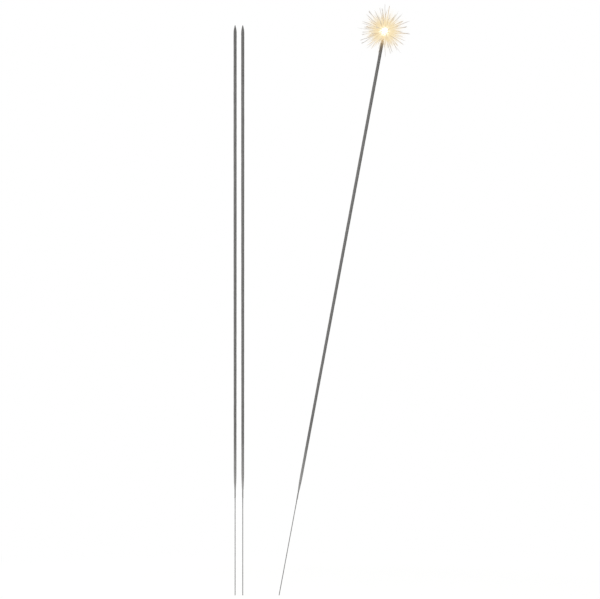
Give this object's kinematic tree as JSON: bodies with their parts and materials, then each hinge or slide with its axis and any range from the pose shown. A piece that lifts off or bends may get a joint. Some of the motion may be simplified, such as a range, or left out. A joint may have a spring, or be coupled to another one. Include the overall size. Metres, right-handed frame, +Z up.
{
  "type": "sparkler",
  "caption": "Hand-held dipped-wire sparklers: bare steel handle, slim grey dried-paste coat with a drip point, shown unlit and burning with a round burst of sparks.",
  "frame": {"origin": "lower end of the left sparkler's wire, on its axis", "axes": "+Z up along the two upright sparklers, +X to the right as the set is seen from the front, +Y away from the viewer"},
  "size_m": [0.2168, 0.0645, 0.7257],
  "materials": {
    "steel_wire": "satin",
    "base_coat": "matte",
    "body_coat": "matte",
    "fire_bead": "matte",
    "sparks": "matte"
  },
  "bodies": {
    "root": {"left_wire": "steel_wire", "left_base_coat": "base_coat", "left_body_coat": "body_coat", "right_wire": "steel_wire", "right_base_coat": "base_coat", "right_body_coat": "body_coat", "lit_wire": "steel_wire", "lit_base_coat": "base_coat", "lit_body_coat": "body_coat", "lit_fire_bead": "fire_bead", "lit_sparks": "sparks"}
  },
  "joints": []
}
